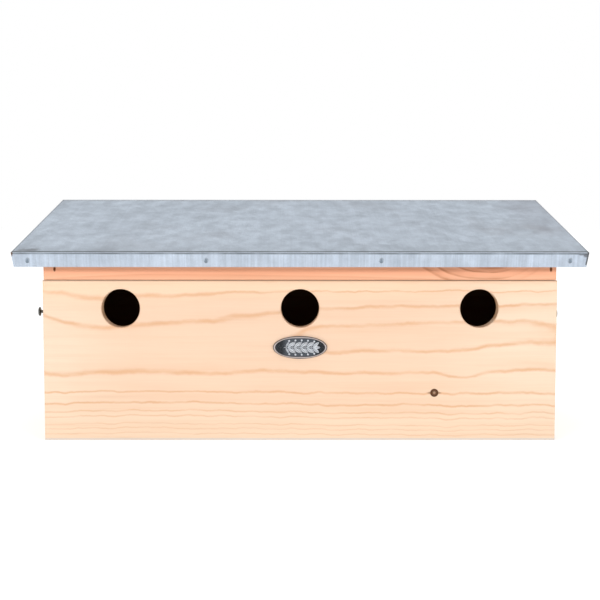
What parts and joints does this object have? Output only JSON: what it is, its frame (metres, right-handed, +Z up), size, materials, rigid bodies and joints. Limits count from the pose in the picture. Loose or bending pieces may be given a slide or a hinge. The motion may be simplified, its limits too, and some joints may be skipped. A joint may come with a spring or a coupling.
{
  "type": "sparrow nest box",
  "caption": "Wooden nest box for sparrows with three rooms side by side, round entrances and a folded zinc lean-to roof, to hang on a wall or stand.",
  "frame": {"origin": "on the ground below the middle of the whole box, roof included", "axes": "+X to the right along the front, +Y from the front to the back, +Z up"},
  "size_m": [0.465, 0.207, 0.2028],
  "materials": {
    "zinc_sheet": "mottled galvanised sheet, satin",
    "pine_front": "planed pine, untreated",
    "pine_rail": "planed pine, untreated",
    "pine": "planed pine, untreated",
    "galvanised_nail": "dull galvanised",
    "dark_nail": "dark bare steel",
    "screw_steel": "dull zinc plated",
    "badge_metal": "cast, bright on the relief and dark in the ground"
  },
  "bodies": {
    "root": {"roof_board": "pine", "top_rail": "pine_rail", "front_board": "pine_front", "left_cleat": "pine", "right_cleat": "pine", "left_side": "pine", "right_side": "pine", "floor_board": "pine", "left_partition": "pine", "right_partition": "pine", "back_board": "pine", "roof_sheet": "zinc_sheet", "flange_nails": "galvanised_nail", "roof_nails": "galvanised_nail", "rail_nails": "dark_nail", "side_nails": "galvanised_nail", "back_nails": "galvanised_nail", "floor_nails": "galvanised_nail", "badge": "badge_metal", "left_screw": "screw_steel", "right_screw": "screw_steel"}
  },
  "joints": []
}
